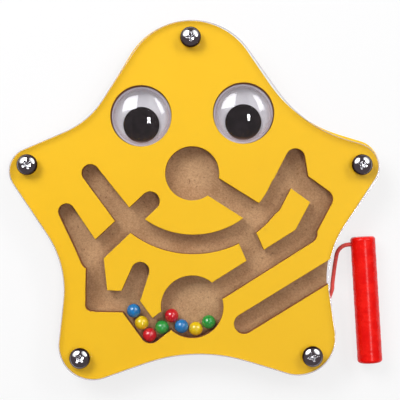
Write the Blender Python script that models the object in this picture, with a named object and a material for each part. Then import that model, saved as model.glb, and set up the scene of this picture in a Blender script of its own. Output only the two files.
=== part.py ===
# Star-shaped magnetic bead maze with a pen on a cord. Metres, +Z up.
# The board lies on its back on five feet, and the pen lies beside it.
import math

import bmesh
import bpy
import numpy as np
from mathutils import Vector
from mathutils.geometry import delaunay_2d_cdt

# Driving dimensions of the board and its layers
BOARD_WIDTH = 0.1545
BASE_THICKNESS = 0.003
MAZE_THICKNESS = 0.0064
COVER_THICKNESS = 0.002
SEAT_GAP = 0.0003

# Channels and pockets in the maze layer
CHANNEL_WIDTH = 0.0084
NOSE_POCKET_DIAMETER = 0.0226
MOUTH_POCKET_DIAMETER = 0.0262
SMILE_WIDTH_SHARE = 0.97

# Screws and their sleeve nuts
HEAD_DIAMETER = 0.0088
HEAD_HEIGHT = 0.0029
HEAD_RIM = 0.0004
SHANK_DIAMETER = 0.003
SHANK_REACH = 0.0085
RECESS_ARM = 0.0036
RECESS_SLOT = 0.0009
RECESS_DEPTH = 0.0014
RECESS_TAPER_SHARE = 0.45
FOOT_DIAMETER = 0.0095
FOOT_HEIGHT = 0.0023
FOOT_FLAT_SHARE = 0.62
SLEEVE_DIAMETER = 0.0054
SLEEVE_FLOOR = 0.0012
RUNNING_GAP = 0.0003

# Rolling eyes
EYE_DIAMETER = 0.025
EYE_BACKING = 0.001
EYE_HEIGHT = 0.0048
EYE_WALL = 0.0004
EYE_FLANGE = 0.0007
EYE_SHOULDER = 0.0022
PUPIL_DIAMETER = 0.0152
PUPIL_THICKNESS = 0.001

# Balls
BALL_DIAMETER = 0.0059
BALL_GAP = 0.0002
MOUTH_WALL_GAP = 0.0006
MOUTH_ROW_GAP = 0.00045
TRAIN_OFFSET_LEFT = 0.00048
TRAIN_OFFSET_DOWN = 0.00108
TRAIN_AIM_DROP = 0.0010

# Pen
PEN_DIAMETER = 0.0106
PEN_LENGTH = 0.0535
PEN_EDGE_RADIUS = 0.0014
PEN_TILT_DEG = 3.4
PEN_OVERHANG = 0.0026
PEN_DROP = 0.0426
MAGNET_DIAMETER = 0.0068
MAGNET_DEPTH = 0.003
CORD_HOLE_FROM_TOP = 0.003
CORD_HOLE_RUN = 0.001
CORD_HOLE_DEPTH = 0.0038

# Cord
CORD_DIAMETER = 0.0018
CORD_HOLE_CLEARANCE = 0.0003
CORD_REST = 0.00095
CORD_JOINT_GAP = 0.0003
ANCHOR_HOLE_DIAMETER = 0.004
ANCHOR_BEND = 0.0036
ANCHOR_TURN_DEG = 36
KNOT_DIAMETER = 0.0056
KNOT_HEIGHT = 0.004
KNOT_POCKET_CLEARANCE = 0.0004
COIL_START_RADIUS = 0.0071
COIL_PITCH = 0.00226
COIL_TURNS = 1.85
COIL_START_DEG = 15
COIL_LEAN_DEG = 20
POINTS_PER_TURN = 24

OVERRUN = 0.001
WELD = 0.00001
ARC_STEP_DEG = 7.5
ROUND_STEPS = 28
FINE_STEPS = 36
BALL_STEPS = 16
BALL_RINGS = 9

# Five lobes, clockwise from the top: centre and radius as shares of the board width
LOBE_SHARES = (
    (-0.012, 0.296, 0.188),
    (0.431, 0.091, 0.069),
    (0.280, -0.374, 0.102),
    (-0.274, -0.396, 0.093),
    (-0.437, 0.076, 0.064),
)
# The hollow between each lobe and the next, written in the same way
WAIST_SHARES = (
    (0.493, 0.510, 0.350),
    (0.630, -0.218, 0.267),
    (0.014, -0.864, 0.444),
    (-0.625, -0.247, 0.272),
    (-0.440, 0.391, 0.227),
)
# How far the clear sheet's own cut strays from the board's at the top lobe, the right lobe and
# the hollow between them
COVER_LOBE_SLIP_SHARES = ((0.005, 0), (0, -0.007), (0, 0), (0, 0), (0, 0))
COVER_WAIST_SLIP_SHARES = ((0.0165, -0.0125), (0, 0), (0, 0), (0, 0), (0, 0))

SCREW_SHARES = {
    "top": (-0.0105, 0.437),
    "left": (-0.451, 0.093),
    "right": (0.452, 0.093),
    "low_left": (-0.309, -0.429),
    "low_right": (0.3185, -0.424),
}
EYE_SHARES = {"left": (-0.145, 0.226), "right": (0.1335, 0.2335)}
NOSE_SHARES = (-0.006, 0.070)
MOUTH_SHARES = (-0.006, -0.292)
# The smile's left end, its lowest point and its right end, all on one circle
SMILE_SHARES = ((-0.1806, -0.0509), (-0.003, -0.1227), (0.2332, 0.0352))
DIP_SHARES = (-0.119, -0.363)
TRAIN_TOP_SHARES = (-0.175, -0.278)

# Each run: points as shares of the board width, and the width there as a share of the channel's
RUN_SHARES = {
    "brow": ((-0.282, 0.071, 0.88), (-0.186, -0.054, 0.99)),
    "cheek": ((-0.120, -0.005, 0.95), (-0.266, -0.143, 0.97)),
    "ear": ((-0.347, -0.034, 0.82), (-0.295, -0.125, 1.12), (-0.279, -0.162, 1.12)),
    "drop": ((-0.270, -0.162, 0.88), (-0.266, -0.250, 1.09), (-0.266, -0.275, 1.09)),
    "heel": ((-0.266, -0.275, 1.09), (-0.279, -0.287, 0.64)),
    "floor": ((-0.266, -0.276, 1.09), (-0.191, -0.278, 1.07)),
    "thumb": ((-0.147, -0.195, 0.91), (-0.171, -0.258, 1.04)),
    "slide": ((-0.181, -0.278, 1.04), (*DIP_SHARES, 1.04), (-0.080, -0.332, 1.04), (-0.045, -0.310, 1.0)),
    "nose": ((0.030, 0.047, 1.02), (0.165, -0.038, 1.04)),
    "link": ((0.142, -0.100, 1.01), (0.168, -0.159, 1.01)),
    "chin": ((0.068, -0.245, 0.98), (0.307, -0.094, 0.98)),
    "loop": ((0.296, -0.100, 1.0), (0.349, 0.0, 0.99), (0.270, 0.057, 1.0)),
    "arm": ((0.210, -0.014, 0.97), (0.274, 0.111, 0.97)),
    "shoulder": ((0.274, 0.111, 0.97), (0.284, 0.050, 0.97)),
    "gate": ((0.135, -0.338, 1.01), (0.4185, -0.164, 1.01)),
}

# A point on each loose piece of the maze layer
PIECE_SHARES = {
    "maze_frame": (0.0, 0.375),
    "smile_island": (0.014, -0.170),
    "cheek_island": (0.243, -0.062),
}

# Where the cord leaves the base, and the middle of its coil
ANCHOR_SHARES = (0.2244, -0.3749)
COIL_SHARES = (0.2028, -0.3452)

# Free stretch of the cord: x and y from the board's middle, z from the table
CORD_ROUTE = (
    (0.04550, -0.05450, 0.00095),
    (0.05100, -0.05000, 0.00095),
    (0.05540, -0.04660, 0.00095),
    (0.05866, -0.03953, 0.00095),
    (0.05910, -0.03595, 0.00095),
    (0.05954, -0.03238, 0.00095),
    (0.05981, -0.03020, 0.00096),
    (0.06007, -0.02801, 0.00136),
    (0.06034, -0.02583, 0.00216),
    (0.06061, -0.02365, 0.00315),
    (0.06097, -0.02231, 0.00379),
    (0.06168, -0.02112, 0.00437),
    (0.06269, -0.02017, 0.00485),
    (0.06392, -0.01954, 0.00518),
)

COLOURS = {
    "yellow": ((0.98, 0.56, 0.03), 0.35, 0.0),
    "board": ((0.43, 0.26, 0.15), 0.85, 0.0),
    "clear": ((0.90, 0.93, 0.96), 0.05, 0.0),
    "chrome": ((0.75, 0.75, 0.77), 0.15, 1.0),
    "white": ((0.80, 0.79, 0.82), 0.4, 0.0),
    "black": ((0.02, 0.02, 0.025), 0.2, 0.0),
    "red": ((0.80, 0.01, 0.01), 0.25, 0.0),
    "cord": ((0.62, 0.01, 0.015), 0.8, 0.0),
    "ball_red": ((0.70, 0.01, 0.05), 0.15, 0.0),
    "ball_blue": ((0.03, 0.20, 0.60), 0.15, 0.0),
    "ball_yellow": ((0.85, 0.60, 0.01), 0.15, 0.0),
    "ball_green": ((0.02, 0.31, 0.08), 0.15, 0.0),
    "steel": ((0.45, 0.45, 0.47), 0.3, 1.0),
}

# Heights of the layers above the table
BASE_BOTTOM = FOOT_HEIGHT + SEAT_GAP
BASE_TOP = BASE_BOTTOM + BASE_THICKNESS
MAZE_BOTTOM = BASE_TOP + SEAT_GAP
MAZE_TOP = MAZE_BOTTOM + MAZE_THICKNESS
COVER_BOTTOM = MAZE_TOP + SEAT_GAP
COVER_TOP = COVER_BOTTOM + COVER_THICKNESS
BALL_PITCH = BALL_DIAMETER + BALL_GAP
BALL_HEIGHT = BASE_TOP + SEAT_GAP + BALL_DIAMETER / 2


# Helpers
def clearScene():
    for obj in list(bpy.data.objects):
        bpy.data.objects.remove(obj, do_unlink=True)


def place(shares):
    """A point of the board's plan, from shares of its width."""
    return Vector((shares[0], shares[1])) * BOARD_WIDTH


def polar(centre, radius, angle):
    return centre + Vector((math.cos(angle), math.sin(angle))) * radius


def bearing(vector):
    return math.atan2(vector.y, vector.x)


def arc(centre, radius, start, end):
    """Points from one angle to another, both ends included."""
    count = max(2, math.ceil(abs(end - start) / math.radians(ARC_STEP_DEG)) + 1)
    return [polar(centre, radius, angle) for angle in np.linspace(start, end, count)]


def ring(centre, radius, steps=ROUND_STEPS):
    turn = 2 * math.pi / steps
    return [polar(centre, radius, turn * step) for step in range(steps)]


def material(key):
    found = bpy.data.materials.get(key)
    if found:
        return found
    colour, roughness, metallic = COLOURS[key]
    made = bpy.data.materials.new(key)
    made.use_nodes = True
    shader = made.node_tree.nodes["Principled BSDF"]
    shader.inputs["Base Color"].default_value = (*colour, 1)
    shader.inputs["Roughness"].default_value = roughness
    shader.inputs["Metallic"].default_value = metallic
    made.diffuse_color = (*colour, 1)
    return made


def empty(name, location, parent=None):
    made = bpy.data.objects.new(name, None)
    bpy.context.collection.objects.link(made)
    made.parent = parent
    made.location = location
    return made


def meshObject(name, bm, key, parent, smooth_deg=35):
    """A named object from a bmesh, with its faces turned outwards."""
    bmesh.ops.recalc_face_normals(bm, faces=bm.faces)
    mesh = bpy.data.meshes.new(name)
    bm.to_mesh(mesh)
    bm.free()
    mesh.shade_smooth()
    mesh.set_sharp_from_angle(angle=math.radians(smooth_deg))
    mesh.materials.append(material(key))
    made = bpy.data.objects.new(name, mesh)
    bpy.context.collection.objects.link(made)
    made.parent = parent
    return made


def turned(name, profile, key, parent, steps=ROUND_STEPS):
    """A solid of revolution about local Z, from (radius, height) points."""
    bm = bmesh.new()
    corners = [bm.verts.new((radius, 0, height)) for radius, height in profile]
    for first, second in zip(corners, corners[1:]):
        bm.edges.new((first, second))
    if profile[0][0] > 0 or profile[-1][0] > 0:
        bm.edges.new((corners[-1], corners[0]))
    bmesh.ops.spin(
        bm, geom=bm.verts[:] + bm.edges[:], axis=(0, 0, 1), cent=(0, 0, 0), angle=2 * math.pi, steps=steps,
        use_merge=True,
    )
    bmesh.ops.remove_doubles(bm, verts=bm.verts, dist=WELD)
    return meshObject(name, bm, key, parent)


def prism(name, loop, bottom, top, key, parent, taper_share=1):
    """A closed outline carried from one height to another; the lower end may be smaller."""
    bm = bmesh.new()
    lower = [bm.verts.new((x * taper_share, y * taper_share, bottom)) for x, y in loop]
    upper = [bm.verts.new((x, y, top)) for x, y in loop]
    bm.faces.new(lower[::-1])
    bm.faces.new(upper)
    for i, corner in enumerate(lower):
        after = (i + 1) % len(lower)
        bm.faces.new((corner, lower[after], upper[after], upper[i]))
    return meshObject(name, bm, key, parent)


def cut(target, cutter):
    """Takes the cutter's shape out of the target."""
    cutter.hide_render = True
    cutter.display_type = "WIRE"
    modifier = target.modifiers.new(cutter.name, "BOOLEAN")
    modifier.operation = "DIFFERENCE"
    modifier.solver = "EXACT"
    modifier.object = cutter


# Plan outlines
def circles(shares):
    return [(place(circle), circle[2] * BOARD_WIDTH) for circle in shares]


def tangentLean(first, second):
    """The angle between the line of centres and the touching point of a crossing tangent."""
    return math.acos((first[1] + second[1]) / (second[0] - first[0]).length)


def strayed(shares, slips):
    return [(x + right, y + up, radius) for (x, y, radius), (right, up) in zip(shares, slips)]


def starOutline(lobe_shares, waist_shares):
    """Lobe arcs and hollow arcs, clockwise, joined by the straight flanks that touch both."""
    lobes, waists = circles(lobe_shares), circles(waist_shares)
    loop = []
    for i, lobe in enumerate(lobes):
        before, after, following = waists[i - 1], waists[i], lobes[(i + 1) % len(lobes)]
        start = bearing(before[0] - lobe[0]) - tangentLean(lobe, before)
        end = bearing(after[0] - lobe[0]) + tangentLean(lobe, after)
        loop += arc(*lobe, start, start - (start - end) % (2 * math.pi))
        start = bearing(lobe[0] - after[0]) + tangentLean(lobe, after)
        end = bearing(following[0] - after[0]) - tangentLean(following, after)
        loop += arc(*after, start, start + (end - start) % (2 * math.pi))
    return loop[::-1]


def runOutline(start, end):
    """Two round ends, of unlike radius, and the straight walls that touch both."""
    (centre_a, radius_a), (centre_b, radius_b) = start, end
    across = centre_b - centre_a
    lean = math.acos((radius_a - radius_b) / across.length)
    heading = bearing(across)
    near = arc(centre_a, radius_a, heading + lean, heading + 2 * math.pi - lean)
    far = arc(centre_b, radius_b, heading - lean, heading + lean)
    return near + far


def runOutlines():
    loops = []
    for run in RUN_SHARES.values():
        ends = [(place(point), point[2] * CHANNEL_WIDTH / 2) for point in run]
        loops += [runOutline(a, b) for a, b in zip(ends, ends[1:])]
    return loops


def circleThrough(first, middle, last):
    """The centre of the circle through three points."""
    near, far = middle - first, last - first
    across = Vector((near.length_squared * far.y - far.length_squared * near.y,
                     far.length_squared * near.x - near.length_squared * far.x))
    return first + across / (2 * near.cross(far))


def smileOutline():
    """A bent channel with round ends."""
    left, lowest, right = [place(point) for point in SMILE_SHARES]
    centre = circleThrough(left, lowest, right)
    radius = (lowest - centre).length
    half = SMILE_WIDTH_SHARE * CHANNEL_WIDTH / 2
    start = bearing(left - centre)
    end = bearing(right - centre)
    outer = arc(centre, radius + half, start, end)
    inner = arc(centre, radius - half, end, start)
    far = arc(right, half, end, end + math.pi)
    near = arc(left, half, start + math.pi, start + 2 * math.pi)
    return outer + far[1:-1] + inner + near[1:-1]


def plateTriangles(outline, cuts):
    """Points, and the triangles inside the outline and outside every cut."""
    points, loops = [], []
    for loop in (outline, *cuts):
        loops.append(list(range(len(points), len(points) + len(loop))))
        points += loop
    points, _, triangles, _, _, sources = delaunay_2d_cdt(points, [], loops, 0, WELD, True)
    return points, [triangle for triangle, source in zip(triangles, sources) if source == [0]]


def inside(point, corners):
    signs = []
    for i, corner in enumerate(corners):
        side = corners[(i + 1) % 3] - corner
        signs.append(side.cross(point - corner) > 0)
    return all(signs) or not any(signs)


def pieceAt(points, triangles, seed):
    """The triangles joined, side to side, with the one that holds the seed."""
    sides = {}
    for triangle in triangles:
        for i in range(3):
            side = frozenset((triangle[i], triangle[(i + 1) % 3]))
            sides.setdefault(side, []).append(tuple(triangle))
    waiting = [tuple(t) for t in triangles if inside(seed, [points[i] for i in t])][:1]
    found = set(waiting)
    while waiting:
        triangle = waiting.pop()
        for i in range(3):
            side = frozenset((triangle[i], triangle[(i + 1) % 3]))
            fresh = set(sides[side]) - found
            found |= fresh
            waiting += fresh
    return sorted(found)


def plate(name, points, triangles, bottom, top, key, parent):
    """A flat plate of the given plan."""
    bm = bmesh.new()
    used = sorted({i for triangle in triangles for i in triangle})
    corners = {i: bm.verts.new((points[i].x, points[i].y, bottom)) for i in used}
    for triangle in triangles:
        bm.faces.new([corners[i] for i in triangle])
    raised = bmesh.ops.extrude_face_region(bm, geom=bm.faces[:])
    lifted = [item for item in raised["geom"] if isinstance(item, bmesh.types.BMVert)]
    bmesh.ops.translate(bm, verts=lifted, vec=(0, 0, top - bottom))
    return meshObject(name, bm, key, parent)


# Board
def makeBoard(parent):
    outline = starOutline(LOBE_SHARES, WAIST_SHARES)
    sleeve = SLEEVE_DIAMETER / 2 + RUNNING_GAP
    sleeves = [ring(place(at), sleeve) for at in SCREW_SHARES.values()]

    anchor = ring(place(ANCHOR_SHARES), ANCHOR_HOLE_DIAMETER / 2)
    points, triangles = plateTriangles(outline, [*sleeves, anchor])
    plate("base_board", points, triangles, BASE_BOTTOM, BASE_TOP, "board", parent)

    eye = EYE_DIAMETER / 2 + RUNNING_GAP
    holes = [ring(place(at), eye, 2 * ROUND_STEPS) for at in EYE_SHARES.values()]
    holes.append(ring(place(NOSE_SHARES), NOSE_POCKET_DIAMETER / 2, FINE_STEPS))
    holes.append(ring(place(MOUTH_SHARES), MOUTH_POCKET_DIAMETER / 2, FINE_STEPS))
    cuts = [*sleeves, *holes, *runOutlines(), smileOutline()]
    points, triangles = plateTriangles(outline, cuts)
    for name, seed in PIECE_SHARES.items():
        piece = pieceAt(points, triangles, place(seed))
        made = plate(name, points, piece, MAZE_BOTTOM, MAZE_TOP, "yellow", parent)
        if name == "maze_frame":
            cutKnotPocket(made, parent)

    lobe_shares = strayed(LOBE_SHARES, COVER_LOBE_SLIP_SHARES)
    cover = starOutline(lobe_shares, strayed(WAIST_SHARES, COVER_WAIST_SLIP_SHARES))
    shank = SHANK_DIAMETER / 2 + RUNNING_GAP
    shanks = [ring(place(at), shank, ROUND_STEPS // 2) for at in SCREW_SHARES.values()]
    points, triangles = plateTriangles(cover, shanks)
    plate("clear_cover", points, triangles, COVER_BOTTOM, COVER_TOP, "clear", parent)


def cutKnotPocket(frame, parent):
    """A blind round pocket, from below, for the knot on the cord's inner end."""
    radius = KNOT_DIAMETER / 2 + KNOT_POCKET_CLEARANCE
    ceiling = MAZE_BOTTOM + KNOT_HEIGHT + KNOT_POCKET_CLEARANCE
    loop = ring(Vector((0, 0)), radius)
    cutter = prism("knot_pocket", loop, MAZE_BOTTOM - OVERRUN, ceiling, "yellow", parent)
    cutter.location = place(ANCHOR_SHARES).to_3d()
    cut(frame, cutter)


# Fasteners
def crossOutline():
    """A cross with four equal arms."""
    half, reach = RECESS_SLOT / 2, RECESS_ARM / 2
    corner = [(reach, -half), (reach, half), (half, half)]
    loop = []
    for quarter in range(4):
        c, s = round(math.cos(quarter * math.pi / 2)), round(math.sin(quarter * math.pi / 2))
        loop += [(x * c - y * s, x * s + y * c) for x, y in corner]
    return loop


def screwProfile():
    """A shank, then a flat seat, then a high dome."""
    shank, head = SHANK_DIAMETER / 2, HEAD_DIAMETER / 2
    dome = HEAD_HEIGHT - HEAD_RIM
    profile = [(0, -SHANK_REACH), (shank, -SHANK_REACH), (shank, 0), (head, 0)]
    for angle in np.linspace(0, math.pi / 2, 6):
        profile.append((head * math.cos(angle), HEAD_RIM + dome * math.sin(angle)))
    profile[-1] = (0, HEAD_HEIGHT)
    return profile


def nutProfile():
    """A low round-edged head that is the foot, and a sleeve with a blind bore."""
    foot, sleeve = FOOT_DIAMETER / 2, SLEEVE_DIAMETER / 2
    bore = SHANK_DIAMETER / 2 + RUNNING_GAP
    top = MAZE_TOP
    flat = foot * FOOT_FLAT_SHARE
    profile = [(0, 0), (flat, 0)]
    for angle in np.linspace(-math.pi / 2, 0, 4)[1:]:
        profile.append((flat + (foot - flat) * math.cos(angle), FOOT_HEIGHT * (1 + math.sin(angle))))
    profile += [(sleeve, FOOT_HEIGHT), (sleeve, top), (bore, top), (bore, SLEEVE_FLOOR), (0, SLEEVE_FLOOR)]
    return profile


def makeFasteners(parent):
    for name, shares in SCREW_SHARES.items():
        at = place(shares)
        seat = COVER_TOP + SEAT_GAP
        screw = turned("screw_" + name, screwProfile(), "chrome", parent, ROUND_STEPS * 3 // 4)
        screw.location = (at.x, at.y, seat)
        recess = prism(
            "recess_" + name, crossOutline(), HEAD_HEIGHT - RECESS_DEPTH, HEAD_HEIGHT + OVERRUN, "chrome",
            screw, RECESS_TAPER_SHARE,
        )
        cut(screw, recess)
        nut = turned("nut_" + name, nutProfile(), "chrome", parent, ROUND_STEPS * 3 // 4)
        nut.location = (at.x, at.y, 0)


# Eyes
def domeProfile():
    """The shell of the eye's clear cup: a flange, a straight wall and a domed top."""
    rim = EYE_DIAMETER / 2
    outer = rim - EYE_FLANGE
    inner = outer - EYE_WALL
    rise = EYE_HEIGHT - EYE_SHOULDER
    angles = np.linspace(0, math.pi / 2, 6)
    profile = [(rim, 0), (rim, EYE_WALL), (outer, EYE_WALL)]
    profile += [(outer * math.cos(a), EYE_SHOULDER + rise * math.sin(a)) for a in angles[:-1]]
    profile.append((0, EYE_HEIGHT))
    profile.append((0, EYE_HEIGHT - EYE_WALL))
    under = rise - EYE_WALL
    profile += [(inner * math.cos(a), EYE_SHOULDER + under * math.sin(a)) for a in angles[-2::-1]]
    profile.append((inner, 0))
    return profile


def discProfile(radius, thickness):
    return [(0, 0), (radius, 0), (radius, thickness), (0, thickness)]


def makeEyes(parent):
    inner = EYE_DIAMETER / 2 - EYE_FLANGE - EYE_WALL
    roll = inner - PUPIL_DIAMETER / 2 - RUNNING_GAP
    backing_bottom = BASE_TOP + SEAT_GAP
    backing_top = backing_bottom + EYE_BACKING
    for side, shares in EYE_SHARES.items():
        at = place(shares)
        axis = empty("eye_axis_" + side, (at.x, at.y, 0), parent)
        disc = discProfile(EYE_DIAMETER / 2, EYE_BACKING)
        backing = turned("eye_backing_" + side, disc, "white", axis, FINE_STEPS)
        backing.location.z = backing_bottom
        dome = turned("eye_dome_" + side, domeProfile(), "clear", axis, FINE_STEPS)
        dome.location.z = backing_top + SEAT_GAP
        disc = discProfile(PUPIL_DIAMETER / 2, PUPIL_THICKNESS)
        pupil = turned("pupil_" + side, disc, "black", axis)
        pupil.location = (0, -roll, backing_top + SEAT_GAP)


# Balls
def makeBall(name, at, key, parent):
    bm = bmesh.new()
    bmesh.ops.create_uvsphere(bm, u_segments=BALL_STEPS, v_segments=BALL_RINGS, radius=BALL_DIAMETER / 2)
    ball = meshObject(name, bm, key, parent, 180)
    ball.location = at
    return ball


def trainPlaces():
    """The three balls in the slide, lowest first, and the one between them and the mouth."""
    dip = place(DIP_SHARES)
    first = dip + Vector((-TRAIN_OFFSET_LEFT, -TRAIN_OFFSET_DOWN))
    up = (place(TRAIN_TOP_SHARES) - dip).normalized()
    train = [first + up * (BALL_PITCH * i) for i in range(3)]
    aim = place(MOUTH_SHARES) - Vector((0, TRAIN_AIM_DROP))
    between = first + (aim - first).normalized() * BALL_PITCH
    return train, between


def mouthRow(between):
    """The radius and the angles of the row along the mouth's wall, clear of the ball before it.

    That ball may reach in between the first and the second of the row.
    """
    mouth = place(MOUTH_SHARES)
    radius = (MOUTH_POCKET_DIAMETER - BALL_DIAMETER) / 2 - MOUTH_WALL_GAP
    reach = (between - mouth).length
    clear = BALL_DIAMETER + MOUTH_ROW_GAP
    lean = math.acos(min(1, (reach**2 + radius**2 - clear**2) / (2 * reach * radius)))
    step = 2 * math.asin(BALL_PITCH / (2 * radius))
    first = bearing(between - mouth) - lean
    second = max(first + step, first + 2 * lean)
    return radius, [first, second, second + step, second + 2 * step]


def makeBalls(parent):
    train, between = trainPlaces()
    for name, at in zip(("red_1", "yellow_1", "blue_1"), train):
        makeBall("ball_" + name, (at.x, at.y, BALL_HEIGHT), "ball_" + name[:-2], parent)
    makeBall("ball_green_1", (between.x, between.y, BALL_HEIGHT), "ball_green", parent)

    mouth = place(MOUTH_SHARES)
    axis = empty("mouth_axis", (mouth.x, mouth.y, BALL_HEIGHT), parent)
    radius, angles = mouthRow(between)
    for name, angle in zip(("red_2", "blue_2", "yellow_2", "green_2"), angles):
        at = polar(Vector((0, 0)), radius, angle)
        makeBall("ball_" + name, (at.x, at.y, 0), "ball_" + name[:-2], axis)


# Pen
def penProfile():
    """A barrel with rounded ends, and a blind recess for the magnet in its lower end."""
    radius, half, edge = PEN_DIAMETER / 2, PEN_LENGTH / 2, PEN_EDGE_RADIUS
    recess = MAGNET_DIAMETER / 2 + RUNNING_GAP
    floor = -half + MAGNET_DEPTH + SEAT_GAP
    profile = [(0, floor), (recess, floor), (recess, -half)]
    quarter = np.linspace(0, math.pi / 2, 5)
    profile += [(radius - edge + edge * math.sin(a), -half + edge - edge * math.cos(a)) for a in quarter]
    profile += [(radius - edge + edge * math.cos(a), half - edge + edge * math.sin(a)) for a in quarter]
    profile.append((0, half))
    return profile


def penCentre():
    """The barrel's middle: its far end reaches past the board's right side by the overhang."""
    lean = math.radians(PEN_TILT_DEG)
    reach = PEN_LENGTH / 2 * math.sin(lean) + PEN_DIAMETER / 2 * math.cos(lean)
    return Vector((boardRight() + PEN_OVERHANG - reach, -PEN_DROP, PEN_DIAMETER / 2))


def makePen(parent):
    axis = empty("pen_axis", penCentre(), parent)
    axis.rotation_euler = (-math.pi / 2, 0, math.radians(PEN_TILT_DEG))
    barrel = turned("pen_body", penProfile(), "red", axis)
    magnet = turned("pen_magnet", discProfile(MAGNET_DIAMETER / 2, MAGNET_DEPTH), "steel", axis)
    magnet.location.z = -PEN_LENGTH / 2
    bore = CORD_DIAMETER / 2 + CORD_HOLE_CLEARANCE
    loop = ring(Vector((0, 0)), bore, ROUND_STEPS // 2)
    flank = PEN_DIAMETER / 2
    cutter = prism("cord_hole", loop, flank - CORD_HOLE_DEPTH, flank + OVERRUN, "red", axis)
    cutter.location.z = PEN_LENGTH / 2 - CORD_HOLE_FROM_TOP
    cutter.rotation_euler = (0, -math.pi / 2, 0)
    cut(barrel, cutter)


def cordHoleAt(depth):
    """A point on the cross hole's axis, this far in from the barrel's left flank."""
    lean = math.radians(PEN_TILT_DEG)
    along = Vector((-math.sin(lean), math.cos(lean), 0))
    inward = Vector((math.cos(lean), math.sin(lean), 0))
    top = penCentre() + along * (PEN_LENGTH / 2 - CORD_HOLE_FROM_TOP)
    return top + inward * (depth - PEN_DIAMETER / 2)


# Cord
def smoothThrough(points, pieces):
    """A smooth curve through the given points, each stretch cut into so many pieces."""
    ends = [2 * points[0] - points[1], *points, 2 * points[-1] - points[-2]]
    curve = []
    for i in range(1, len(ends) - 2):
        a, b, c, d = ends[i - 1 : i + 3]
        linear, square, cube = c - a, 2 * a - 5 * b + 4 * c - d, 3 * b - a - 3 * c + d
        for t in np.arange(pieces) / pieces:
            curve.append(b + (linear * t + square * t**2 + cube * t**3) / 2)
    return [*curve, points[-1]]


def evenly(curve, spacing):
    """The curve's points, moved along it to an even spacing."""
    points = np.array([tuple(point) for point in curve])
    walked = np.concatenate([[0], np.cumsum(np.linalg.norm(np.diff(points, axis=0), axis=1))])
    count = max(2, round(walked[-1] / spacing) + 1)
    places = np.linspace(0, walked[-1], count)
    return [Vector([np.interp(at, walked, points[:, axis]) for axis in range(3)]) for at in places]


def tube(name, points, sides_level, parent):
    """A round cord along the points, with its ends closed."""
    curve = bpy.data.curves.new(name, "CURVE")
    curve.dimensions = "3D"
    curve.bevel_depth = CORD_DIAMETER / 2
    curve.bevel_resolution = sides_level
    curve.use_fill_caps = True
    spline = curve.splines.new("POLY")
    spline.points.add(len(points) - 1)
    for slot, point in zip(spline.points, points):
        slot.co = (*point, 1)
    curve.materials.append(material("cord"))
    made = bpy.data.objects.new(name, curve)
    bpy.context.collection.objects.link(made)
    made.parent = parent
    return made


def leadPoints():
    """Down through the base, then a quarter bend onto the table."""
    anchor = place(ANCHOR_SHARES).to_3d()
    away = polar(Vector((0, 0)), 1, math.radians(ANCHOR_TURN_DEG)).to_3d()
    points = [anchor + Vector((0, 0, BASE_TOP))]
    for angle in np.linspace(0, math.pi / 2, 6):
        along = ANCHOR_BEND * (1 - math.cos(angle))
        height = CORD_REST + ANCHOR_BEND * (1 - math.sin(angle))
        points.append(anchor + away * along + Vector((0, 0, height)))
    return points


def coilPoints():
    """A flat spiral of even pitch, from the inside outwards, with a short straight stretch at each end."""
    centre = place(COIL_SHARES)
    count = math.ceil(COIL_TURNS * POINTS_PER_TURN) + 1
    plan = []
    for turn in np.linspace(0, COIL_TURNS, count):
        angle = math.radians(COIL_START_DEG) + 2 * math.pi * turn
        plan.append(polar(centre, COIL_START_RADIUS + COIL_PITCH * turn, angle))
    inward = bearing(plan[0] - plan[1]) - math.radians(COIL_LEAN_DEG)
    first = polar(plan[0], CORD_DIAMETER, inward)
    last = polar(plan[-1], CORD_DIAMETER, bearing(plan[-1] - plan[-2]))
    return [Vector((at.x, at.y, CORD_REST)) for at in (first, *plan, last)]


def leastCoilGap(points):
    """The least gap between one turn and the next, over every pair of points half a turn or more apart."""
    least = math.inf
    for i, point in enumerate(points):
        for other in points[i + POINTS_PER_TURN // 2 :]:
            least = min(least, (other - point).length)
    return least - CORD_DIAMETER


def routeLength(points):
    """In whole millimetres."""
    return round(sum((b - a).length for a, b in zip(points, points[1:])) * 1000)


def makeCord(parent):
    coil = coilPoints()
    print("cord_coil: least gap between turns", round(leastCoilGap(coil) * 1000, 2), "mm")
    tube("cord_coil", coil, 1, parent)

    inward = (coil[0] - coil[1]).normalized()
    stop = coil[0] + inward * CORD_JOINT_GAP
    lead = evenly(smoothThrough([*leadPoints(), stop + inward * CORD_DIAMETER, stop], 4), CORD_DIAMETER)
    tube("cord_lead", lead, 2, parent)

    outward = (coil[-1] - coil[-2]).normalized()
    start = coil[-1] + outward * CORD_JOINT_GAP
    after = start + outward * (2 * CORD_DIAMETER)
    route = [Vector(point) for point in CORD_ROUTE]
    depth = CORD_HOLE_DEPTH - CORD_JOINT_GAP
    ends = [cordHoleAt(-CORD_HOLE_RUN), cordHoleAt(0), cordHoleAt(depth)]
    free = evenly(smoothThrough([start, after, *route, *ends], 6), 2 * CORD_DIAMETER)
    tube("cord_free", free, 2, parent)
    print("cord: lengths of lead, coil and free stretch", [routeLength(p) for p in (lead, coil, free)], "mm")

    profile = [(0, 0)]
    for angle in np.linspace(-math.pi / 2, math.pi / 2, 9)[1:-1]:
        profile.append((KNOT_DIAMETER / 2 * math.cos(angle), KNOT_HEIGHT / 2 * (1 + math.sin(angle))))
    profile.append((0, KNOT_HEIGHT))
    knot = turned("cord_knot_board", profile, "cord", parent, ROUND_STEPS // 2)
    knot.location = (*place(ANCHOR_SHARES), MAZE_BOTTOM)


def boardRight():
    return max(x + radius for x, _, radius in LOBE_SHARES) * BOARD_WIDTH


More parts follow.
